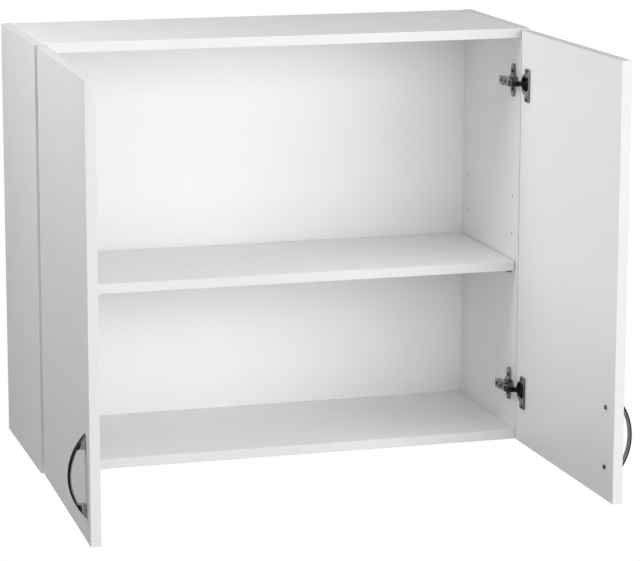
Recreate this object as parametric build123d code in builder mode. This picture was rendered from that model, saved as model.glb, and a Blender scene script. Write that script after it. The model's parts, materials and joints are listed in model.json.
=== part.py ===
from build123d import *
from math import atan2, cos, degrees, hypot, radians, sin, sqrt
import os

# Hanging wall cabinet: a 16 mm board carcass with one shelf and two doors on cup hinges.
# X runs along the wall, Y into the wall, Z up. The origin is the middle of the two
# hanging holes, on the wall plane. The doors stand open by OPEN_ANGLE.

# ---------------------------------------------------------------- driving dimensions
WIDTH = 832.0
HEIGHT = 700.0
DEPTH = 300.0
BOARD = 16.0
EDGE_ROUND = 0.7
HANG_DROP = 40.0              # top of the cabinet down to the hanging holes

BACK_THICK = 3.0
BACK_FRONT = 285.5            # front plane to the back panel's face
GROOVE_DEPTH = 7.0
RAIL_DEPTH = 294.3            # top and bottom panels stop short of the wall

SHELF_SIDE_GAP = 1.5
SHELF_SETBACK = 12.0
SHELF_BACK_GAP = 0.5
PIN_ROW_FRONT = 32.0
PIN_ROW_REAR = 259.0
PIN_PITCH = 64.0
PIN_LOW = 286.0               # height of the row that carries the shelf
PIN_R = 2.5
PIN_REACH = 10.0
PIN_HOLE_DEEP = 12.0
PIN_REST_R = 3.2
PIN_REST_OUT = 6.0            # how far a pin reaches under the shelf
PIN_ROUND = 0.6

DOOR_GAP = 2.0                # door to door, and door to carcass ends
DOOR_SIDE_REVEAL = 0.5
DOOR_AIR = 2.0                # closed door to carcass front
OPEN_ANGLE = 91.2

HANDLE_FROM_EDGE = 33.0
HANDLE_CENTRE = 102.3         # above the cabinet's underside
HANDLE_HOLES = 96.0
HANDLE_LENGTH = 130.0
HANDLE_RISE = 27.0
HANDLE_THICK = 4.6
HANDLE_WIDTH = 10.0
HANDLE_SPAN = 83.6            # clear length between the feet
HANDLE_OUTER_ROUND = 1.0
HANDLE_INNER_CHAMFER = 2.2    # the bow's back is bevelled between the feet
HANDLE_SCREW_R = 2.0
HANDLE_SCREW_IN = 8.0         # thread in the handle's foot
HANDLE_HOLE_IN = 9.0
HANDLE_HEAD_R = 4.0
HANDLE_HEAD_TALL = 2.4

HINGE_FROM_END = 90.0
CUP_FROM_EDGE = 21.5
CUP_R = 17.5
CUP_BORE_R = 16.6
CUP_DEPTH = 13.0
CUP_FLOOR = 12.1
MOUTH_TALL = 20.0             # the opening that the arm and links pass through
RIM_R = 19.0
RIM_THICK = 1.0
FLANGE_THICK = 3.0
FLANGE_LENGTH = 55.0
FLANGE_EDGES = (22.0, 40.5)   # from the door's hinge edge
FLANGE_CORNER_R = 2.0
CUP_SCREW_SPAN = 48.0
CUP_SCREW_EDGE = 29.0
CUP_SCREW_R = 1.8
CUP_SCREW_LONG = 11.0

# hinge pivots, right-hand hinge with its door shut: x from the middle, y from the front
PIVOT_A = (381.5, -10.3)      # outer link on the arm
PIVOT_B = (381.4, -6.0)       # inner link on the arm
PIVOT_C = (9.0, 7.55)         # outer link in the cup: from the hinge edge, below the face
PIVOT_D = (8.0, 7.1)          # inner link in the cup
OUTER_TURN = -28.2 / 110.0    # link turn for each degree of door turn
INNER_TURN = -27.2 / 110.0
PIVOT_R = 1.0
RUNNING_GAP = 0.05
OPEN_PIVOT_GAP = 0.42         # the inner link's loose eye in the cup
OPEN_EYE_WALL = 0.8
EYE_R = 2.0
OUTER_HALF = 1.6              # half width of each link's bar
INNER_HALF = 1.3
OUTER_BOW = (9.0, 2.6)        # from the cup pivot along the link, and the bow's height
INNER_BOW = (8.4, 3.8)
INNER_EYE_REACH = (26.049, -2.823)  # from PIVOT_B to the inner link's far eye, door shut
LINK_SHEET = 1.4
LAYER_GAP = 0.3
LUG_HALF = 1.0
LUG_GAP = 0.2                 # between the cup's middle lug and the inner link's fork
WEB_SPAN = (2.7, 12.0)        # the outer link's web, along the link from its arm pivot
WEB_THICK = 1.0

PLATE_ROW = 32.0
PLATE_SCREWS = 32.0
PLATE_LENGTH = 56.0
PLATE_WIDTH = 15.0
PLATE_THICK = 3.0
PLATE_PAD = (31.0, 16.0, 34.0)  # the plate's middle pad: row, height and depth
PLATE_PAD_R = 2.0
PLATE_RIDGE = (28.5, 33.0)    # the ridge that the arm sits on: row and depth
ARM_FACE = 379.0
ARM_BACK = 46.0
ARM_WIDE = (26.0, 15.0)       # behind this row the arm's face is this tall
ARM_FRONT = 0.5
ARM_DEEP = 14.0
ARM_NOSE = 8.0                # the arm's cheeks narrow in front of this row
ARM_TAIL = 12.0               # and behind this far from the back
ARM_EYE_R = 2.4
ARM_SHEET = 1.2
ADJUST_ROW = 20.0
FIXING_ROW = 39.0
ARM_SCREW_R = 2.0
ARM_SCREW_REACH = 9.0
PLATE_HEAD = (3.8, 2.0)       # screw heads: radius and height
ARM_HEAD = (3.8, 1.5)
CUP_HEAD = (3.4, 1.4)
HEAD_TAPER = 20
CROSS_WIDE = 0.9              # width of a cross recess
CROSS_DEEP = 0.6              # its depth, as a share of the head's height

CAM_FROM_END = 34.0
CAM_R = 7.5
CAM_DEPTH = 12.5
CAM_ROWS = (50.0, 240.0)
DOWEL_ROWS = (82.0, 208.0)
DOWEL_R = 4.0
DOWEL_LENGTH = 30.0
DOWEL_IN_SIDE = 10.0
BOLT_R = 3.0
BOLT_IN_SIDE = 11.0
BOLT_NECK_R = 2.0
CAM_SLOT = 4.0                # the slot that takes the bolt's neck
CAM_BIT = (8.0, 1.4, 2.0)     # the driver cross: length, width and depth

HANGER_X = 376.0
HANGER_HOLE_R = 4.0
HANGER_SHEET = 2.0
HANGER_TALL = 44.0
HANGER_WIDE = 40.0
HANGER_DEEP = 10.5
HANGER_SCREW_END = 8.0        # its screws from its top and bottom
HANGER_SCREW_R = 2.0
HANGER_HEAD_R = 3.4
HANGER_HEAD_TALL = 1.8

# ---------------------------------------------------------------- places
FRONT = -DEPTH
TOP = HANG_DROP
BASE = HANG_DROP - HEIGHT
MIDDLE = (TOP + BASE) / 2
INNER_X = WIDTH / 2 - BOARD
DOOR_WIDTH = WIDTH / 2 - DOOR_SIDE_REVEAL - DOOR_GAP / 2
DOOR_HEIGHT = HEIGHT - 2 * DOOR_GAP
DOOR_EDGE = WIDTH / 2 - DOOR_SIDE_REVEAL
HINGE_LEVELS = {"top": TOP - HINGE_FROM_END, "bottom": BASE + HINGE_FROM_END}

INNER_LINK_IN = LUG_HALF + LUG_GAP
INNER_LINK_OUT = INNER_LINK_IN + LINK_SHEET
OUTER_LINK_IN = INNER_LINK_OUT + LAYER_GAP
OUTER_LINK_OUT = OUTER_LINK_IN + LINK_SHEET
CHEEK_IN = OUTER_LINK_OUT + LAYER_GAP
CHEEK_OUT = CHEEK_IN + LINK_SHEET

os.makedirs("parts", exist_ok=True)


def save(part, name):
    part.label = name
    export_step(part, f"parts/{name}.step")


def save_pair(part, name, suffix=""):
    """Write a right-hand part and its mirror image as two parts."""
    save(part, f"{name}_right{suffix}")
    save(mirror(part, about=Plane.YZ), f"{name}_left{suffix}")


def turned(point, centre, angle):
    """A plan point turned about a centre by degrees."""
    c, s = cos(radians(angle)), sin(radians(angle))
    dx, dy = point[0] - centre[0], point[1] - centre[1]
    return centre[0] + c * dx - s * dy, centre[1] + s * dx + c * dy


def closed_point(u, w):
    """Plan point u in from a closed right-hand door's hinge edge and w below its face."""
    return DOOR_EDGE - u, -DOOR_AIR - w


C_NOW = turned(closed_point(*PIVOT_C), PIVOT_A, OUTER_TURN * OPEN_ANGLE)


def door_point(u, w):
    """The same point with the door open."""
    shut = closed_point(u, w)
    home = closed_point(*PIVOT_C)
    offset = (shut[0] - home[0], shut[1] - home[1])
    swung = turned(offset, (0, 0), OPEN_ANGLE)
    return C_NOW[0] + swung[0], C_NOW[1] + swung[1]


def plan_plane(point, direction, level):
    """Horizontal plane at a plan point, its x along a plan direction."""
    return Plane(
        origin=(point[0], FRONT + point[1], level),
        x_dir=(direction[0], direction[1], 0),
        z_dir=(0, 0, 1),
    )


def door_direction(along, deep):
    """Plan direction built from the open door's own two directions."""
    a, b = door_point(0, 0), door_point(along, deep)
    length = hypot(along, deep)
    return (b[0] - a[0]) / length, (b[1] - a[1]) / length


def door_plan(level):
    """Sketch x runs in from the hinge edge, y runs into the door's thickness."""
    return plan_plane(door_point(0, 0), door_direction(1, 0), level)


def door_face(u, level, w=0.0):
    """Plane on the door's inner face, normal into the door: x up, y in from the edge."""
    point = door_point(u, w)
    deep = door_direction(0, 1)
    return Plane(
        origin=(point[0], FRONT + point[1], level),
        x_dir=(0, 0, 1),
        z_dir=(deep[0], deep[1], 0),
    )


def side_face(level, x=INNER_X):
    """Plane parallel to the right side's inner face, normal into the cabinet: x up,
    y towards the wall from the cabinet's front."""
    return Plane(origin=(x, FRONT, level), x_dir=(0, 0, 1), z_dir=(-1, 0, 0))


def carcass_plan(level):
    return Plane.XY.offset(level).move(Location((0, FRONT, 0)))


# ---------------------------------------------------------------- side panels
with BuildPart() as side_panel:
    with BuildSketch(carcass_plan(BASE)):
        with Locations((INNER_X + BOARD / 2, DEPTH / 2)):
            Rectangle(BOARD, DEPTH)
    extrude(amount=HEIGHT)
    fillet(side_panel.edges(), EDGE_ROUND)
    with BuildSketch(carcass_plan(BASE + BOARD - GROOVE_DEPTH)):
        with Locations((INNER_X + GROOVE_DEPTH / 2, BACK_FRONT + BACK_THICK / 2)):
            Rectangle(GROOVE_DEPTH, BACK_THICK)
    extrude(amount=HEIGHT - 2 * (BOARD - GROOVE_DEPTH), mode=Mode.SUBTRACT)
    with BuildSketch(side_face(BASE)):
        for step in range(3):
            with Locations(
                (PIN_LOW + step * PIN_PITCH, PIN_ROW_FRONT),
                (PIN_LOW + step * PIN_PITCH, PIN_ROW_REAR),
            ):
                Circle(PIN_R)
        for level in HINGE_LEVELS.values():
            with Locations((level - BASE, PLATE_ROW)):
                with GridLocations(PLATE_SCREWS, 1, 2, 1):
                    Circle(PIN_R)
    extrude(amount=-PIN_HOLE_DEEP, mode=Mode.SUBTRACT)
    with BuildSketch(side_face(BASE)):
        for end in (BOARD / 2, HEIGHT - BOARD / 2):
            with Locations(*[(end, row) for row in DOWEL_ROWS]):
                Circle(DOWEL_R)
    extrude(amount=-DOWEL_IN_SIDE, mode=Mode.SUBTRACT)
    with BuildSketch(side_face(BASE)):
        for end in (BOARD / 2, HEIGHT - BOARD / 2):
            with Locations(*[(end, row) for row in CAM_ROWS]):
                Circle(BOLT_R)
    extrude(amount=-BOLT_IN_SIDE, mode=Mode.SUBTRACT)
save_pair(side_panel.part, "side_panel")


# ---------------------------------------------------------------- top and bottom panels
def rail(bottom, groove_up):
    """A panel between the sides, with its groove, cam pockets and end holes."""
    with BuildPart() as panel:
        with BuildSketch(carcass_plan(bottom)):
            with Locations((0, RAIL_DEPTH / 2)):
                Rectangle(2 * INNER_X, RAIL_DEPTH)
        extrude(amount=BOARD)
        fillet(panel.edges(), EDGE_ROUND)
        groove_at = bottom + BOARD - GROOVE_DEPTH if groove_up else bottom
        with BuildSketch(carcass_plan(groove_at)):
            with Locations((0, BACK_FRONT + BACK_THICK / 2)):
                Rectangle(2 * INNER_X, BACK_THICK)
        extrude(amount=GROOVE_DEPTH, mode=Mode.SUBTRACT)
        with BuildSketch(carcass_plan(bottom)):
            for row in CAM_ROWS:
                with Locations((0, row)):
                    with GridLocations(2 * (INNER_X - CAM_FROM_END), 1, 2, 1):
                        Circle(CAM_R)
        extrude(amount=CAM_DEPTH, mode=Mode.SUBTRACT)
        for side in (-1, 1):
            end_plane = Plane(
                origin=(side * INNER_X, FRONT, bottom + BOARD / 2),
                x_dir=(0, 1, 0),
                z_dir=(-side, 0, 0),
            )
            with BuildSketch(end_plane):
                with Locations(*[(row, 0) for row in DOWEL_ROWS]):
                    Circle(DOWEL_R)
            extrude(amount=DOWEL_LENGTH - DOWEL_IN_SIDE, mode=Mode.SUBTRACT)
            with BuildSketch(end_plane):
                with Locations(*[(row, 0) for row in CAM_ROWS]):
                    Circle(BOLT_R)
            extrude(amount=CAM_FROM_END, mode=Mode.SUBTRACT)
    return panel.part


save(rail(BASE, groove_up=True), "bottom_panel")
save(rail(TOP - BOARD, groove_up=False), "top_panel")

with BuildPart() as back_panel:
    with BuildSketch(carcass_plan(BASE + BOARD - GROOVE_DEPTH)):
        with Locations((0, BACK_FRONT + BACK_THICK / 2)):
            Rectangle(2 * (INNER_X + GROOVE_DEPTH), BACK_THICK)
    extrude(amount=HEIGHT - 2 * (BOARD - GROOVE_DEPTH))
save(back_panel.part, "back_panel")

# ---------------------------------------------------------------- shelf and its pins
SHELF_UNDER = BASE + PIN_LOW + PIN_REST_R
with BuildPart() as shelf:
    shelf_depth = BACK_FRONT - SHELF_BACK_GAP - SHELF_SETBACK
    with BuildSketch(carcass_plan(SHELF_UNDER)):
        with Locations((0, SHELF_SETBACK + shelf_depth / 2)):
            Rectangle(2 * (INNER_X - SHELF_SIDE_GAP), shelf_depth)
    extrude(amount=BOARD)
    fillet(shelf.edges(), EDGE_ROUND)
save(shelf.part, "shelf")

with BuildPart() as pin:
    for row in (PIN_ROW_FRONT, PIN_ROW_REAR):
        with BuildSketch(side_face(BASE + PIN_LOW)):
            with Locations((0, row)):
                Circle(PIN_R)
        extrude(amount=-PIN_REACH)
        with BuildSketch(side_face(BASE + PIN_LOW)):
            with Locations((0, row)):
                Circle(PIN_REST_R)
        extrude(amount=SHELF_SIDE_GAP + PIN_REST_OUT)
        fillet(pin.faces().sort_by(Axis.X)[0].edges(), PIN_ROUND)
with BuildPart() as shelf_pins:
    add(pin.part)
    mirror(about=Plane.YZ)
save(shelf_pins.part, "shelf_pins")

# ---------------------------------------------------------------- joints of the carcass
with BuildPart() as dowels:
    for level in (BASE + BOARD / 2, TOP - BOARD / 2):
        with BuildSketch(side_face(level, INNER_X + DOWEL_IN_SIDE)):
            with Locations(*[(0, row) for row in DOWEL_ROWS]):
                Circle(DOWEL_R)
        extrude(amount=DOWEL_LENGTH)
    mirror(about=Plane.YZ)
save(dowels.part, "dowels")

with BuildPart() as cam_bolts:
    for level in (BASE + BOARD / 2, TOP - BOARD / 2):
        with BuildSketch(side_face(level, INNER_X + BOLT_IN_SIDE)):
            with Locations(*[(0, row) for row in CAM_ROWS]):
                Circle(BOLT_R)
        extrude(amount=BOLT_IN_SIDE + CAM_FROM_END - CAM_R)
        with BuildSketch(side_face(level, INNER_X - CAM_FROM_END + CAM_R)):
            with Locations(*[(0, row) for row in CAM_ROWS]):
                Circle(BOLT_NECK_R)
        extrude(amount=CAM_R - BOLT_NECK_R)
    mirror(about=Plane.YZ)
save(cam_bolts.part, "cam_bolts")

with BuildPart() as cam_housings:
    for level in (BASE, TOP - BOARD):
        with BuildSketch(carcass_plan(level)):
            with Locations(*[(INNER_X - CAM_FROM_END, row) for row in CAM_ROWS]):
                Circle(CAM_R)
        extrude(amount=CAM_DEPTH)
        with BuildSketch(carcass_plan(level + BOARD / 2 - BOLT_NECK_R)):
            with Locations(*[(INNER_X - CAM_FROM_END + CAM_R / 2, row) for row in CAM_ROWS]):
                Rectangle(CAM_R + CAM_SLOT, CAM_SLOT)
        extrude(amount=2 * BOLT_NECK_R, mode=Mode.SUBTRACT)
        with BuildSketch(carcass_plan(level)):
            with Locations(*[(INNER_X - CAM_FROM_END, row) for row in CAM_ROWS]):
                Rectangle(CAM_BIT[0], CAM_BIT[1])
                Rectangle(CAM_BIT[1], CAM_BIT[0])
        extrude(amount=CAM_BIT[2], mode=Mode.SUBTRACT)
    mirror(about=Plane.YZ)
save(cam_housings.part, "cam_housings")

# ---------------------------------------------------------------- hanging plates
HANGER_LOW = TOP - BOARD - HANGER_SHEET - HANGER_TALL
HANGER_SCREW_Y = -(HANGER_DEEP + HANGER_SHEET) / 2


def hanger_screw_spots():
    """Sketch points of a hanging plate's two screws: height, and y from the wall."""
    ends = (HANGER_LOW + HANGER_SCREW_END, HANGER_LOW + HANGER_TALL - HANGER_SCREW_END)
    return [(end, HANGER_SCREW_Y) for end in ends]


def hanger_flank(x):
    """Plane beside the right hanging plate, normal into the cabinet."""
    return Plane(origin=(x, 0, 0), x_dir=(0, 0, 1), z_dir=(-1, 0, 0))


with BuildPart() as hanging_plate:
    with BuildSketch(Plane.XY.offset(HANGER_LOW)):
        with Locations((INNER_X - HANGER_WIDE / 2, -HANGER_SHEET / 2)):
            Rectangle(HANGER_WIDE, HANGER_SHEET)
        with Locations((INNER_X - HANGER_SHEET / 2, -HANGER_DEEP / 2)):
            Rectangle(HANGER_SHEET, HANGER_DEEP)
    extrude(amount=HANGER_TALL)
    with BuildSketch(Plane.XZ):
        with Locations((HANGER_X, 0)):
            Circle(HANGER_HOLE_R)
    extrude(amount=HANGER_DEEP, both=True, mode=Mode.SUBTRACT)
    with BuildSketch(hanger_flank(INNER_X)):
        with Locations(*hanger_screw_spots()):
            Circle(HANGER_SCREW_R)
    extrude(amount=HANGER_SHEET, mode=Mode.SUBTRACT)
save_pair(hanging_plate.part, "hanging_plate")

with BuildPart() as hanging_screws:
    with BuildSketch(hanger_flank(INNER_X - HANGER_SHEET)):
        with Locations(*hanger_screw_spots()):
            Circle(HANGER_HEAD_R)
    extrude(amount=HANGER_HEAD_TALL)
    with BuildSketch(hanger_flank(INNER_X - HANGER_SHEET)):
        with Locations(*hanger_screw_spots()):
            Circle(HANGER_SCREW_R)
    extrude(amount=-HANGER_SHEET)
    mirror(about=Plane.YZ)
save(hanging_screws.part, "hanging_screws")


# ---------------------------------------------------------------- doors
def handle_levels():
    middle = BASE + HANDLE_CENTRE
    return middle - HANDLE_HOLES / 2, middle + HANDLE_HOLES / 2


HANDLE_U = DOOR_WIDTH - HANDLE_FROM_EDGE

with BuildPart() as door:
    with BuildSketch(door_plan(MIDDLE)):
        with Locations((DOOR_WIDTH / 2, BOARD / 2)):
            Rectangle(DOOR_WIDTH, BOARD)
    extrude(amount=DOOR_HEIGHT / 2, both=True)
    fillet(door.edges(), EDGE_ROUND)
    for level in HINGE_LEVELS.values():
        with BuildSketch(door_face(CUP_FROM_EDGE, level)):
            Circle(CUP_R)
        extrude(amount=CUP_DEPTH, mode=Mode.SUBTRACT)
        with BuildSketch(door_face(CUP_SCREW_EDGE, level)):
            with GridLocations(CUP_SCREW_SPAN, 1, 2, 1):
                Circle(CUP_SCREW_R)
        extrude(amount=CUP_SCREW_LONG, mode=Mode.SUBTRACT)
    for level in handle_levels():
        with BuildSketch(door_face(HANDLE_U, level)):
            Circle(HANDLE_SCREW_R)
        extrude(amount=BOARD, mode=Mode.SUBTRACT)
save_pair(door.part, "door")

# ---------------------------------------------------------------- bow handles
HALF = HANDLE_LENGTH / 2
BOW_R = (HALF**2 + HANDLE_RISE**2) / (2 * HANDLE_RISE)
INNER_BOW_R = BOW_R - HANDLE_THICK
FOOT_IN = HANDLE_SPAN / 2
FOOT_TALL = sqrt(INNER_BOW_R**2 - FOOT_IN**2) - (BOW_R - HANDLE_RISE)


def handle_plane():
    """Plane along the handle: x up, y out from the door's outer face."""
    point = door_point(HANDLE_U, BOARD)
    along = door_direction(1, 0)
    return Plane(
        origin=(point[0], FRONT + point[1], BASE + HANDLE_CENTRE),
        x_dir=(0, 0, 1),
        z_dir=(-along[0], -along[1], 0),
    )


with BuildPart() as handle:
    with BuildSketch(handle_plane()):
        with BuildLine():
            ThreePointArc((-HALF, 0), (0, HANDLE_RISE), (HALF, 0))
            Line((HALF, 0), (FOOT_IN, 0))
            Line((FOOT_IN, 0), (FOOT_IN, FOOT_TALL))
            ThreePointArc(
                (FOOT_IN, FOOT_TALL),
                (0, HANDLE_RISE - HANDLE_THICK),
                (-FOOT_IN, FOOT_TALL),
            )
            Line((-FOOT_IN, FOOT_TALL), (-FOOT_IN, 0))
            Line((-FOOT_IN, 0), (-HALF, 0))
        make_face()
    extrude(amount=HANDLE_WIDTH / 2, both=True)
    arcs = handle.edges().filter_by(GeomType.CIRCLE)
    fillet(arcs.filter_by(lambda e: e.radius > BOW_R - HANDLE_THICK / 2), HANDLE_OUTER_ROUND)
    arcs = handle.edges().filter_by(GeomType.CIRCLE)
    inner_arcs = arcs.filter_by(lambda e: abs(e.radius - INNER_BOW_R) < HANDLE_THICK / 2)
    chamfer(inner_arcs, HANDLE_INNER_CHAMFER)
    for level in handle_levels():
        with BuildSketch(door_face(HANDLE_U, level, BOARD)):
            Circle(HANDLE_SCREW_R)
        extrude(amount=HANDLE_HOLE_IN, mode=Mode.SUBTRACT)
save_pair(handle.part, "handle")

with BuildPart() as handle_screws:
    for level in handle_levels():
        with BuildSketch(door_face(HANDLE_U, level)):
            Circle(HANDLE_SCREW_R)
        extrude(amount=BOARD + HANDLE_SCREW_IN)
        with BuildSketch(door_face(HANDLE_U, level)):
            Circle(HANDLE_HEAD_R)
        extrude(amount=-HANDLE_HEAD_TALL)
        fillet(handle_screws.faces().sort_by(Axis.X)[0].edges(), HANDLE_HEAD_TALL / 2)
        with BuildSketch(door_face(HANDLE_U, level, -HANDLE_HEAD_TALL)):
            Rectangle(HANDLE_HEAD_R, CROSS_WIDE)
            Rectangle(CROSS_WIDE, HANDLE_HEAD_R)
        extrude(amount=HANDLE_HEAD_TALL / 2, mode=Mode.SUBTRACT)
save_pair(handle_screws.part, "handle_screws")


# ---------------------------------------------------------------- cup hinges
def layer(inner, outer, level):
    """The two spans of height, above and below a hinge's middle, of one sheet layer."""
    return ((level + inner, outer - inner), (level - outer, outer - inner))


def offset_point(start, end, along, aside):
    """Point along a line between plan points and aside from it, to the left."""
    length = hypot(end[0] - start[0], end[1] - start[1])
    dx, dy = (end[0] - start[0]) / length, (end[1] - start[1]) / length
    return start[0] + along * dx - aside * dy, start[1] + along * dy + aside * dx


def bar(points, half_width):
    """Round-ended bar along plan points, drawn in the current carcass sketch."""
    for a, b in zip(points, points[1:]):
        dx, dy = b[0] - a[0], b[1] - a[1]
        with Locations(((a[0] + b[0]) / 2, (a[1] + b[1]) / 2)):
            SlotCenterToCenter(hypot(dx, dy), 2 * half_width, rotation=degrees(atan2(dy, dx)))


EYE_D = turned(
    (PIVOT_B[0] + INNER_EYE_REACH[0], PIVOT_B[1] + INNER_EYE_REACH[1]),
    PIVOT_B,
    INNER_TURN * OPEN_ANGLE,
)


def mounting_plate(level):
    with BuildPart() as plate:
        with BuildSketch(side_face(level)):
            with Locations((0, PLATE_ROW)):
                SlotOverall(PLATE_LENGTH, PLATE_WIDTH)
            with Locations((0, PLATE_PAD[0])):
                RectangleRounded(PLATE_PAD[1], PLATE_PAD[2], PLATE_PAD_R)
        extrude(amount=PLATE_THICK)
        with BuildSketch(side_face(level, INNER_X - PLATE_THICK)):
            with Locations((0, PLATE_RIDGE[0])):
                Rectangle(2 * (CHEEK_IN - LAYER_GAP), PLATE_RIDGE[1])
        extrude(amount=INNER_X - PLATE_THICK - ARM_FACE - ARM_SHEET)
        with BuildSketch(side_face(level)):
            with Locations((0, PLATE_ROW)):
                with GridLocations(PLATE_SCREWS, 1, 2, 1):
                    Circle(PIN_R)
        extrude(amount=PLATE_THICK, mode=Mode.SUBTRACT)
        with BuildSketch(side_face(level, ARM_FACE)):
            with Locations((0, ADJUST_ROW), (0, FIXING_ROW)):
                Circle(ARM_SCREW_R)
        extrude(amount=-ARM_SCREW_REACH, mode=Mode.SUBTRACT)
    return plate.part


def hinge_arm(level):
    with BuildPart() as arm:
        for low, thick in layer(CHEEK_IN, CHEEK_OUT, level):
            with BuildSketch(carcass_plan(low)):
                with BuildLine():
                    Polyline(
                        (ARM_FACE, PIVOT_B[1]),
                        (ARM_FACE, ARM_BACK),
                        (ARM_FACE + ARM_DEEP / 2, ARM_BACK),
                        (ARM_FACE + ARM_DEEP, ARM_BACK - ARM_TAIL),
                        (ARM_FACE + ARM_DEEP, ARM_NOSE),
                        (PIVOT_B[0] + ARM_EYE_R, PIVOT_B[1]),
                        close=True,
                    )
                make_face()
                bar([PIVOT_A, PIVOT_B], ARM_EYE_R)
                with Locations(PIVOT_A, PIVOT_B):
                    Circle(PIVOT_R, mode=Mode.SUBTRACT)
            extrude(amount=thick)
        with BuildSketch(side_face(level, ARM_FACE + ARM_SHEET)):
            with Locations((0, (ARM_BACK + ARM_FRONT) / 2)):
                Rectangle(2 * CHEEK_OUT, ARM_BACK - ARM_FRONT)
            with Locations((0, (ARM_BACK + ARM_WIDE[0]) / 2)):
                Rectangle(ARM_WIDE[1], ARM_BACK - ARM_WIDE[0])
        extrude(amount=ARM_SHEET)
        with BuildSketch(side_face(level, ARM_FACE)):
            with Locations((0, ADJUST_ROW), (0, FIXING_ROW)):
                Circle(ARM_SCREW_R)
        extrude(amount=-ARM_SHEET, mode=Mode.SUBTRACT)
    return arm.part


def outer_link(level):
    """Two bowed cheeks joined by a web on the side away from the inner link."""
    knee = offset_point(C_NOW, PIVOT_A, OUTER_BOW[0], OUTER_BOW[1])
    with BuildPart() as link:
        for low, thick in layer(OUTER_LINK_IN, OUTER_LINK_OUT, level):
            with BuildSketch(carcass_plan(low)):
                bar([PIVOT_A, knee, C_NOW], OUTER_HALF)
                with Locations(PIVOT_A, C_NOW):
                    Circle(EYE_R)
                with Locations(PIVOT_A, C_NOW):
                    Circle(PIVOT_R + RUNNING_GAP, mode=Mode.SUBTRACT)
            extrude(amount=thick)
        direction = (knee[0] - PIVOT_A[0], knee[1] - PIVOT_A[1])
        with BuildSketch(plan_plane(PIVOT_A, direction, level)):
            with Locations((sum(WEB_SPAN) / 2, (WEB_THICK / 2) - OUTER_HALF)):
                Rectangle(WEB_SPAN[1] - WEB_SPAN[0], WEB_THICK)
        extrude(amount=OUTER_LINK_OUT, both=True)
    return link.part


def inner_link(level):
    """A solid bar that forks round the cup's middle lug."""
    knee = offset_point(EYE_D, PIVOT_B, INNER_BOW[0], INNER_BOW[1])
    with BuildPart() as link:
        with BuildSketch(carcass_plan(level)):
            bar([PIVOT_B, knee], INNER_HALF)
            with Locations(PIVOT_B):
                Circle(EYE_R)
            with Locations(PIVOT_B):
                Circle(PIVOT_R + RUNNING_GAP, mode=Mode.SUBTRACT)
        extrude(amount=INNER_LINK_OUT, both=True)
        for low, thick in layer(INNER_LINK_IN, INNER_LINK_OUT, level):
            with BuildSketch(carcass_plan(low)):
                bar([knee, EYE_D], INNER_HALF)
                with Locations(EYE_D):
                    Circle(PIVOT_R + OPEN_PIVOT_GAP + OPEN_EYE_WALL)
                with Locations(EYE_D):
                    Circle(PIVOT_R + OPEN_PIVOT_GAP, mode=Mode.SUBTRACT)
            extrude(amount=thick)
    return link.part


def hinge_cup(level):
    """A bored cup with a thin rim, a thick flange, and lugs that hold the links' pins."""
    flange_middle = sum(FLANGE_EDGES) / 2 - CUP_FROM_EDGE
    flange_width = FLANGE_EDGES[1] - FLANGE_EDGES[0]
    with BuildPart() as cup:
        with BuildSketch(door_face(CUP_FROM_EDGE, level)):
            Circle(CUP_R)
        extrude(amount=CUP_DEPTH)
        with BuildSketch(door_face(CUP_FROM_EDGE, level)):
            Circle(RIM_R)
        extrude(amount=-RIM_THICK)
        with BuildSketch(door_face(CUP_FROM_EDGE, level)):
            with Locations((0, flange_middle)):
                RectangleRounded(FLANGE_LENGTH, flange_width, FLANGE_CORNER_R)
        extrude(amount=-FLANGE_THICK)
        with BuildSketch(door_face(CUP_FROM_EDGE, level, -FLANGE_THICK)):
            Circle(CUP_BORE_R)
            Rectangle(MOUTH_TALL, 2 * CUP_BORE_R, mode=Mode.INTERSECT)
        extrude(amount=FLANGE_THICK + CUP_FLOOR, mode=Mode.SUBTRACT)
        for pivot, spans in (
            (PIVOT_C, layer(CHEEK_IN, CHEEK_OUT, level)),
            (PIVOT_D, ((level - LUG_HALF, 2 * LUG_HALF),)),
        ):
            for low, thick in spans:
                with BuildSketch(door_plan(low)):
                    with Locations(pivot):
                        Circle(EYE_R)
                    with Locations((pivot[0], (pivot[1] + CUP_FLOOR) / 2)):
                        Rectangle(2 * EYE_R, CUP_FLOOR - pivot[1])
                    with Locations(pivot):
                        Circle(PIVOT_R, mode=Mode.SUBTRACT)
                extrude(amount=thick)
        with BuildSketch(door_face(CUP_SCREW_EDGE, level)):
            with GridLocations(CUP_SCREW_SPAN, 1, 2, 1):
                Circle(CUP_SCREW_R)
        extrude(amount=-FLANGE_THICK, mode=Mode.SUBTRACT)
    return cup.part


for end, level in HINGE_LEVELS.items():
    save_pair(mounting_plate(level), "mounting_plate", f"_{end}")
    save_pair(hinge_arm(level), "hinge_arm", f"_{end}")
    save_pair(outer_link(level), "outer_link", f"_{end}")
    save_pair(inner_link(level), "inner_link", f"_{end}")
    save_pair(hinge_cup(level), "hinge_cup", f"_{end}")

with BuildPart() as arm_pins:
    for level in HINGE_LEVELS.values():
        for low, thick in layer(OUTER_LINK_IN, CHEEK_OUT, level):
            with BuildSketch(carcass_plan(low)):
                with Locations(PIVOT_A):
                    Circle(PIVOT_R)
            extrude(amount=thick)
        with BuildSketch(carcass_plan(level)):
            with Locations(PIVOT_B):
                Circle(PIVOT_R)
        extrude(amount=CHEEK_OUT, both=True)
    mirror(about=Plane.YZ)
save(arm_pins.part, "arm_pins")

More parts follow.
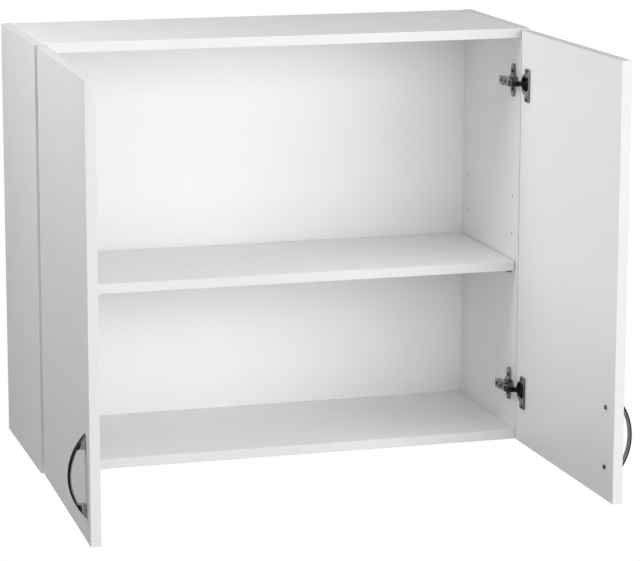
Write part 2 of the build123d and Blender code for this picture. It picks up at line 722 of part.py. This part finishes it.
with BuildPart() as cup_pins:
    for level in HINGE_LEVELS.values():
        for low, thick in layer(OUTER_LINK_IN, CHEEK_OUT, level):
            with BuildSketch(door_plan(low)):
                with Locations(PIVOT_C):
                    Circle(PIVOT_R)
            extrude(amount=thick)
        with BuildSketch(door_plan(level)):
            with Locations(PIVOT_D):
                Circle(PIVOT_R)
        extrude(amount=INNER_LINK_OUT, both=True)
save_pair(cup_pins.part, "cup_pins")


def cross_head(plane, row, span, head, shank_r, shank_long):
    """Pan-head screws in a row of two (or one, with no span) with crossed recesses."""
    head_r, head_tall = head
    spots = [(-span / 2, row), (span / 2, row)] if span else [(0, row)]
    with BuildPart() as screws:
        with BuildSketch(plane):
            with Locations(*spots):
                Circle(shank_r)
        extrude(amount=-shank_long)
        with BuildSketch(plane):
            with Locations(*spots):
                Circle(head_r)
        extrude(amount=head_tall, taper=HEAD_TAPER)
        with BuildSketch(plane.offset(head_tall)):
            with Locations(*spots):
                Rectangle(head_r, CROSS_WIDE)
                Rectangle(CROSS_WIDE, head_r)
        extrude(amount=-head_tall * CROSS_DEEP, mode=Mode.SUBTRACT)
    return screws.part


with BuildPart() as plate_screws:
    for level in HINGE_LEVELS.values():
        plate_top = side_face(level, INNER_X - PLATE_THICK)
        add(cross_head(plate_top, PLATE_ROW, PLATE_SCREWS, PLATE_HEAD, PIN_R, PIN_REACH))
    mirror(about=Plane.YZ)
save(plate_screws.part, "mounting_plate_screws")

with BuildPart() as arm_screws:
    for level in HINGE_LEVELS.values():
        for row in (ADJUST_ROW, FIXING_ROW):
            arm_top = side_face(level, ARM_FACE)
            add(cross_head(arm_top, row, 0, ARM_HEAD, ARM_SCREW_R, ARM_SCREW_REACH))
    mirror(about=Plane.YZ)
save(arm_screws.part, "arm_screws")

with BuildPart() as cup_screws:
    for level in HINGE_LEVELS.values():
        face = door_face(CUP_SCREW_EDGE, level, -FLANGE_THICK)
        outward = Plane(origin=face.origin, x_dir=face.x_dir, z_dir=-face.z_dir)
        add(cross_head(outward, 0, CUP_SCREW_SPAN, CUP_HEAD, CUP_SCREW_R, CUP_SCREW_LONG))
save_pair(cup_screws.part, "cup_screws")
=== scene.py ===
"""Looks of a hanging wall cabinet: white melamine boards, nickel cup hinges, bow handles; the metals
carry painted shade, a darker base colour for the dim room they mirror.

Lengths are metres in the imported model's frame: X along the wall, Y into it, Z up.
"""
import json
from math import cos, pi, radians, sin

import bmesh
import bpy
from mathutils import Matrix, Vector


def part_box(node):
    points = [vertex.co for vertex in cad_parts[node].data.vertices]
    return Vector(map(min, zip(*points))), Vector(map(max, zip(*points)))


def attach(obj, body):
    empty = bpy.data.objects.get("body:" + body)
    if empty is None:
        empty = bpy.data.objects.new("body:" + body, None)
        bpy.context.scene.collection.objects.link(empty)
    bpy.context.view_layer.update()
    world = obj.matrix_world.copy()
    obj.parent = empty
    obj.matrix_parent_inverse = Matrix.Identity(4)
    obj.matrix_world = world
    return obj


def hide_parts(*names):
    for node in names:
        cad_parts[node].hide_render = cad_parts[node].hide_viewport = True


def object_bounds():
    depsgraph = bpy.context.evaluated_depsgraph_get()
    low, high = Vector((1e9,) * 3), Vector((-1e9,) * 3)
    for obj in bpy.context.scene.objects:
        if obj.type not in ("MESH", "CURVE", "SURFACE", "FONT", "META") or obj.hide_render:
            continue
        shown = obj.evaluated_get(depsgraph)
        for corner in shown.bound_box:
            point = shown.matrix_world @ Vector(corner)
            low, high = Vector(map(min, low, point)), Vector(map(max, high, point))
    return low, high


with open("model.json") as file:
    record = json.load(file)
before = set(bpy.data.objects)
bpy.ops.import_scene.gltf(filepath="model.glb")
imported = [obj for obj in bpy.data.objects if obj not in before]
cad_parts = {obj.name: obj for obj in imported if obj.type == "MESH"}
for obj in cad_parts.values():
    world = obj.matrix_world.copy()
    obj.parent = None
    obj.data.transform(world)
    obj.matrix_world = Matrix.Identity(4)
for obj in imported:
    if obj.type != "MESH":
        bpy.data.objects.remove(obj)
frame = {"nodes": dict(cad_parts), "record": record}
cad_low, cad_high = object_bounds()
nodes = frame["nodes"]

# ------------------------------------------------------------------ sizes of the object
BOARD = 0.016                 # thickness of every white board
OPEN_TURN = radians(91.2)     # how far the doors stand open at rest
SKIN = 0.0004                 # melamine skin over the particle board
BAND = 0.0011                 # edge band's seam, in from the edge
SEAM_HALF = 0.00014           # half the width of that seam
PRESSED = {                   # pressed and cast nodes: radius that rolls their hard edges over
    "mounting_plate": 0.0005,
    "hinge_arm": 0.0005,
    "outer_link": 0.0003,
    "inner_link": 0.0003,
    "hinge_cup": 0.0006,
    "handle": 0.0003,
}
HARD_EDGE = radians(32)
FLAT = radians(1)
WELD = 1e-6
ROLL_SEGMENTS = 2             # faces across a rolled-over edge
ROLL_PROFILE = 0.5            # a round one
QUAD = 4                      # a face with more corners than this is flat sheet

# ------------------------------------------------------------------ camera and lights
CAMERA_PLACE = (-1.2151, -4.6622, 0.5749)
CAMERA_YAW = 0.28307
CAMERA_PITCH = -0.19292
CAMERA_ROLL = 0.00195
CAMERA_LENS = 158.42
CAMERA_SHIFT_Y = -0.05
CAMERA_SENSOR = 36.0

FLOOR_DROP = 1.45             # floor below the cabinet's underside
FLOOR_RADIUS = 1.6
FLOOR_SEGMENTS = 96

# Shiny surfaces mirror a dimmer room than the one that lights matt surfaces.
SKY_HIGH = 0.55               # light on matt surfaces from straight above
SKY_LOW = 0.20                # and from straight below
ROOM_HIGH = 0.60              # what shiny surfaces mirror straight above
ROOM_LOW = 0.03               # and at the horizon and below
AIM = Vector((0.0, -0.3, -0.3))
LIGHTS = {                    # name: (place, width, height, watts, seen in reflections)
    "key_right": ((1.2, -3.8, 0.42), 2.0, 2.0, 60.0, True),
    "camera_side": ((-1.0, -4.6, 1.0), 2.0, 1.6, 20.0, False),
    "low_front": ((0.3, -3.6, -0.9), 2.0, 1.2, 17.0, False),
    "near_left": ((-1.4, -0.4, 0.9), 0.8, 0.8, 16.5, True),
    "overhead": ((0.0, -0.8, 1.7), 2.2, 1.6, 7.0, True),
}


# ------------------------------------------------------------------ material building
class Material:
    """A principled material and short calls for the nodes that feed it."""

    def __init__(self, name, **shader):
        self.data = bpy.data.materials.new(name)
        self.data.use_nodes = True
        self.tree = self.data.node_tree
        self.shader = self.tree.nodes["Principled BSDF"]
        for socket, value in shader.items():
            self.shader.inputs[socket.replace("_", " ")].default_value = value
        self.place = self.add("TexCoord").outputs["Object"]

    def feed(self, socket, value):
        if isinstance(value, bpy.types.NodeSocket):
            self.tree.links.new(value, socket)
        else:
            socket.default_value = value

    def add(self, kind, settings=None, **inputs):
        made = self.tree.nodes.new("ShaderNode" + kind)
        for key, value in (settings or {}).items():
            setattr(made, key, value)
        for key, value in inputs.items():
            self.feed(made.inputs[key.replace("_", " ")], value)
        return made

    def maths(self, operation, *values):
        made = self.add("Math", {"operation": operation})
        for socket, value in zip(made.inputs, values):
            self.feed(socket, value)
        return made.outputs[0]

    def vector(self, operation, *values):
        made = self.add("VectorMath", {"operation": operation})
        for socket, value in zip(made.inputs, values):
            self.feed(socket, value)
        return made.outputs[0]

    def parts(self, vector):
        return self.add("SeparateXYZ", Vector=vector).outputs[:]

    def noise(self, scale, detail=2.0, place=None, distortion=0.0):
        made = self.add(
            "TexNoise", Vector=place or self.place, Scale=scale, Detail=detail, Distortion=distortion
        )
        return made.outputs["Fac"]

    def spread(self, value, low, high, from_low=0.3, from_high=0.7):
        """A value from one range brought to another, held inside it."""
        made = self.add(
            "MapRange", Value=value, From_Min=from_low, From_Max=from_high, To_Min=low, To_Max=high
        )
        return made.outputs[0]

    def mix(self, factor, low, high):
        made = self.add("Mix", {"data_type": "RGBA"})
        self.feed(made.inputs["Factor"], factor)
        self.feed(made.inputs[6], low)
        self.feed(made.inputs[7], high)
        return made.outputs[2]

    def blend(self, factor, low, high):
        made = self.add("Mix", {"data_type": "FLOAT"})
        self.feed(made.inputs["Factor"], factor)
        self.feed(made.inputs[2], low)
        self.feed(made.inputs[3], high)
        return made.outputs[0]

    def colour(self, value):
        self.feed(self.shader.inputs["Base Color"], value)

    def roughness(self, value):
        self.feed(self.shader.inputs["Roughness"], value)

    def bump(self, height, distance, strength=1.0):
        made = self.add("Bump", Height=height, Distance=distance, Strength=strength)
        previous = self.shader.inputs["Normal"].links
        if previous:
            self.feed(made.inputs["Normal"], previous[0].from_socket)
        self.feed(self.shader.inputs["Normal"], made.outputs[0])


def stretched(material, x, y, z):
    """Object coordinates scaled unevenly, to draw a pattern out along one direction."""
    return material.vector("MULTIPLY", material.place, (x, y, z))


def board_material(name, centre, half, turn=0.0, raw_rear=True):
    """White melamine over particle board, with its edge bands' seams. The core shows
    wherever the surface lies deeper in the board than its skin, as inside a drilled hole."""
    m = Material(name, IOR=1.5)
    local = m.add(
        "Mapping", {"vector_type": "TEXTURE"}, Vector=m.place, Location=centre, Rotation=(0, 0, turn)
    ).outputs[0]
    gaps = m.parts(m.vector("SUBTRACT", tuple(half), m.vector("ABSOLUTE", local)))
    thin = min(range(3), key=lambda axis: half[axis])
    wide = [gaps[axis] for axis in range(3) if axis != thin]
    edge_gap = m.maths("MINIMUM", *wide)
    depth = m.maths("MINIMUM", gaps[thin], edge_gap)
    core = m.maths("GREATER_THAN", depth, SKIN)
    if raw_rear:
        rear = m.maths("GREATER_THAN", m.parts(local)[1], half[1] - SKIN / 2)
        core = m.maths("MAXIMUM", core, rear)
    seam = m.maths("LESS_THAN", m.maths("ABSOLUTE", m.maths("SUBTRACT", edge_gap, BAND)), SEAM_HALF)
    on_face = m.maths("LESS_THAN", gaps[thin], SKIN / 2)
    seam = m.maths("MULTIPLY", seam, on_face)

    cloud = m.spread(m.noise(3.0, 3.0), 0.0, 1.0)
    white = m.mix(cloud, (0.885, 0.887, 0.888, 1), (0.905, 0.905, 0.903, 1))
    # The board edges are painted a darker white than the faces: painted shade on the edges.
    shaded_band = m.mix(cloud, (0.795, 0.797, 0.797, 1), (0.815, 0.815, 0.812, 1))
    on_shaded_edge = m.maths("LESS_THAN", edge_gap, gaps[thin])
    white = m.mix(on_shaded_edge, white, shaded_band)
    white = m.mix(m.maths("MULTIPLY", seam, 0.35), white, (0.45, 0.44, 0.42, 1))
    chips = m.add("TexVoronoi", Vector=stretched(m, 1.0, 1.0, 0.45), Scale=420.0, Randomness=1.0)
    chip_tone = m.parts(chips.outputs["Color"])[0]
    wood = m.mix(chip_tone, (0.30, 0.19, 0.10, 1), (0.66, 0.48, 0.29, 1))
    m.colour(m.mix(core, white, wood))
    sheen = m.spread(m.noise(38.0, 3.0), 0.36, 0.46)
    m.roughness(m.blend(core, sheen, 0.85))
    peel = m.noise(620.0, 2.0)
    m.bump(peel, 0.00003, 0.5)
    m.bump(m.maths("MULTIPLY", chip_tone, core), 0.0003, 0.6)
    m.bump(m.maths("MULTIPLY", seam, -1.0), 0.00005, 0.6)
    return m.data


def hardboard_material():
    """Thin back: lacquered white inside, raw brown fibre on the wall side."""
    m = Material("hardboard", IOR=1.5)
    low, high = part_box("back_panel")
    across = m.parts(m.place)[1]
    raw = m.maths("GREATER_THAN", across, (low.y + high.y) / 2)
    cloud = m.spread(m.noise(4.0, 3.0), 0.0, 1.0)
    lacquer = m.mix(cloud, (0.895, 0.896, 0.896, 1), (0.910, 0.910, 0.907, 1))
    fibre = m.noise(240.0, 6.0, stretched(m, 1.0, 1.0, 0.3), 1.2)
    brown = m.mix(m.spread(fibre, 0.0, 1.0), (0.20, 0.115, 0.060, 1), (0.40, 0.255, 0.145, 1))
    m.colour(m.mix(raw, lacquer, brown))
    m.roughness(m.blend(raw, m.spread(m.noise(45.0), 0.30, 0.40), 0.78))
    m.bump(m.noise(300.0, 2.0), 0.00003, 0.4)
    m.bump(m.maths("MULTIPLY", fibre, raw), 0.00025, 0.7)
    return m.data


def metal_material(name, dark, light, roughest, smoothest, draw=(1.0, 1.0, 1.0)):
    """Plated steel: faint drawn lines, clouded plating and rubbed patches."""
    m = Material(name, Metallic=1.0)
    cloud = m.spread(m.noise(90.0, 4.0), 0.0, 1.0)
    m.colour(m.mix(cloud, dark, light))
    lines = m.noise(900.0, 3.0, stretched(m, *draw))
    rub = m.spread(m.noise(160.0, 5.0, None, 0.6), roughest, smoothest)
    m.roughness(m.maths("ADD", rub, m.spread(lines, -0.03, 0.03)))
    m.bump(lines, 0.00002, 0.35)
    return m.data


def zinc_material():
    """Bright zinc plate with a soft spangle."""
    m = Material("zinc", Metallic=1.0)
    cells = m.add("TexVoronoi", Vector=m.place, Scale=330.0, Randomness=1.0)
    tone = m.parts(cells.outputs["Color"])[0]
    m.colour(m.mix(tone, (0.50, 0.52, 0.55, 1), (0.70, 0.71, 0.73, 1)))
    m.roughness(m.spread(tone, 0.26, 0.42, 0.0, 1.0))
    m.bump(m.noise(700.0, 3.0), 0.00002, 0.4)
    return m.data


def beech_material():
    """Raw beech turned along X, with short dark flecks."""
    m = Material("beech", IOR=1.45)
    grain = m.noise(520.0, 5.0, stretched(m, 0.08, 1.0, 1.0), 0.8)
    fleck = m.noise(1500.0, 2.0, stretched(m, 0.15, 1.0, 1.0))
    tone = m.mix(m.spread(grain, 0.0, 1.0), (0.47, 0.31, 0.18, 1), (0.72, 0.53, 0.35, 1))
    m.colour(m.mix(m.spread(fleck, 0.0, 0.5, 0.6, 0.8), tone, (0.26, 0.15, 0.08, 1)))
    m.roughness(m.spread(grain, 0.55, 0.72))
    m.bump(grain, 0.0001, 0.5)
    return m.data


def floor_material():
    m = Material("pale_floor", IOR=1.45)
    cloud = m.spread(m.noise(1.5, 3.0), 0.0, 1.0)
    m.colour(m.mix(cloud, (0.86, 0.86, 0.855, 1), (0.89, 0.89, 0.885, 1)))
    m.roughness(m.spread(m.noise(12.0, 3.0), 0.62, 0.72))
    m.bump(m.noise(60.0, 2.0), 0.0004, 0.2)
    return m.data


def dress(node, material):
    """Gives one carried-over node its material."""
    slots = nodes[node].data.materials
    slots.clear()
    slots.append(material)


def dress_boards():
    for node in ("side_panel_left", "side_panel_right", "top_panel", "bottom_panel", "shelf"):
        low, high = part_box(node)
        dress(node, board_material(f"board_{node}", (low + high) / 2, (high - low) / 2))
    for side, hand in (("left", -1), ("right", 1)):
        node = f"door_{side}"
        low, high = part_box(node)
        extent = high - low
        width = (extent.y - BOARD * abs(cos(OPEN_TURN))) / sin(OPEN_TURN)
        half = Vector((width / 2, BOARD / 2, extent.z / 2))
        turn = hand * OPEN_TURN
        dress(node, board_material(f"board_{node}", (low + high) / 2, half, turn, raw_rear=False))


def dress_fittings():
    # Nickel painted much darker than real plating: painted shade standing in for the dim room it
    # mirrors.
    nickel_painted_dark = metal_material("nickel", (0.11, 0.109, 0.107, 1), (0.33, 0.325, 0.317, 1), 0.24, 0.11)
    by_slot = {
        "white_hardboard": hardboard_material(),
        "nickel": nickel_painted_dark,
        "zinc": zinc_material(),
        "beech": beech_material(),
        # The handle's chrome is painted darker than real chrome: painted shade for the dim room it
        # mirrors.
        "polished_handle": metal_material(
            "handle_metal", (0.36, 0.38, 0.41, 1), (0.46, 0.48, 0.51, 1), 0.13, 0.07, (1.0, 1.0, 0.06)
        ),
    }
    for row in frame["record"]["subparts"]:
        if row["material_slot"] in by_slot:
            dress(row["node"], by_slot[row["material_slot"]])


def node_body(node):
    for body, members in frame["record"]["behaviour"]["bodies"].items():
        if node in members:
            return body
    raise ValueError(node)


def press(node, radius, material):
    """A copy that stands for a CAD node: its shape, with hard edges rolled over."""
    shape = bmesh.new()
    shape.from_mesh(nodes[node].data)
    bmesh.ops.remove_doubles(shape, verts=shape.verts, dist=WELD)
    bmesh.ops.dissolve_limit(shape, angle_limit=FLAT, verts=shape.verts, edges=shape.edges)
    hard = [e for e in shape.edges if e.is_manifold and e.calc_face_angle() > HARD_EDGE]
    bmesh.ops.bevel(
        shape, geom=hard, offset=radius, segments=ROLL_SEGMENTS, profile=ROLL_PROFILE,
        affect="EDGES", clamp_overlap=True
    )
    for face in shape.faces:
        face.smooth = len(face.verts) <= QUAD
    mesh = bpy.data.meshes.new(f"pressed_{node}")
    shape.to_mesh(mesh)
    shape.free()
    mesh.set_sharp_from_angle(angle=HARD_EDGE)
    mesh.materials.append(material)
    piece = bpy.data.objects.new(f"pressed_{node}", mesh)
    bpy.context.scene.collection.objects.link(piece)
    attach(piece, node_body(node))
    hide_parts(node)


def press_metal():
    """Every pressed or cast node, found by the start of its name."""
    for node in sorted(nodes):
        for start, radius in PRESSED.items():
            if node.startswith(start) and "screws" not in node:
                material = nodes[node].data.materials[0]
                press(node, radius, material)


# ------------------------------------------------------------------ stage
def add_floor():
    mesh = bpy.data.meshes.new("floor")
    shape = bmesh.new()
    bmesh.ops.create_circle(shape, cap_ends=True, segments=FLOOR_SEGMENTS, radius=FLOOR_RADIUS)
    shape.to_mesh(mesh)
    shape.free()
    floor = bpy.data.objects.new("floor", mesh)
    floor.location = (0.0, (cad_low.y + cad_high.y) / 2, cad_low.z - FLOOR_DROP)
    mesh.materials.append(floor_material())
    bpy.context.scene.collection.objects.link(floor)


def add_world():
    """White behind the object, soft light from above, and a dim room for metal to mirror."""
    world = bpy.data.worlds.new("studio")
    world.use_nodes = True
    tree = world.node_tree
    tree.nodes.clear()

    def gradient(height, low, high, from_low):
        sky = tree.nodes.new("ShaderNodeBackground")
        change = tree.nodes.new("ShaderNodeMapRange")
        change.inputs["From Min"].default_value = from_low
        change.inputs["To Min"].default_value = low
        change.inputs["To Max"].default_value = high
        tree.links.new(height, change.inputs["Value"])
        tree.links.new(change.outputs[0], sky.inputs["Strength"])
        return sky.outputs[0]

    def choose(ray, otherwise, chosen):
        mix = tree.nodes.new("ShaderNodeMixShader")
        for socket, source in zip(mix.inputs, (ray, otherwise, chosen)):
            tree.links.new(source, socket)
        return mix.outputs[0]

    direction = tree.nodes.new("ShaderNodeTexCoord").outputs["Generated"]
    split = tree.nodes.new("ShaderNodeSeparateXYZ")
    tree.links.new(direction, split.inputs[0])
    height = split.outputs["Z"]
    ray = tree.nodes.new("ShaderNodeLightPath").outputs
    backdrop = tree.nodes.new("ShaderNodeBackground")
    backdrop.inputs["Color"].default_value = (1, 1, 1, 1)
    lit = gradient(height, SKY_LOW, SKY_HIGH, -1.0)
    mirrored = gradient(height, ROOM_LOW, ROOM_HIGH, 0.0)
    found = choose(ray["Is Glossy Ray"], lit, mirrored)
    found = choose(ray["Is Camera Ray"], found, backdrop.outputs[0])
    output = tree.nodes.new("ShaderNodeOutputWorld")
    tree.links.new(found, output.inputs["Surface"])
    bpy.context.scene.world = world


def add_light(name, place, width, height, watts, mirrored):
    data = bpy.data.lights.new(name, "AREA")
    data.shape = "RECTANGLE"
    data.size = width
    data.size_y = height
    data.energy = watts
    lamp = bpy.data.objects.new(name, data)
    lamp.location = place
    lamp.rotation_mode = "QUATERNION"
    lamp.rotation_quaternion = (AIM - Vector(place)).to_track_quat("-Z", "Y")
    lamp.visible_camera = False
    lamp.visible_glossy = mirrored
    bpy.context.scene.collection.objects.link(lamp)


def add_camera():
    data = bpy.data.cameras.new("camera")
    data.sensor_width = CAMERA_SENSOR
    data.lens = CAMERA_LENS
    data.shift_y = CAMERA_SHIFT_Y
    camera = bpy.data.objects.new("camera", data)
    camera.matrix_world = (
        Matrix.Translation(CAMERA_PLACE)
        @ Matrix.Rotation(-CAMERA_YAW, 4, "Z")
        @ Matrix.Rotation(pi / 2 + CAMERA_PITCH, 4, "X")
        @ Matrix.Rotation(CAMERA_ROLL, 4, "Z")
    )
    bpy.context.scene.collection.objects.link(camera)
    bpy.context.scene.camera = camera


add_camera()
add_world()
add_floor()
for light_name, light_values in LIGHTS.items():
    add_light(light_name, *light_values)
bpy.context.scene.view_settings.view_transform = "Standard"
dress_boards()
dress_fittings()
press_metal()
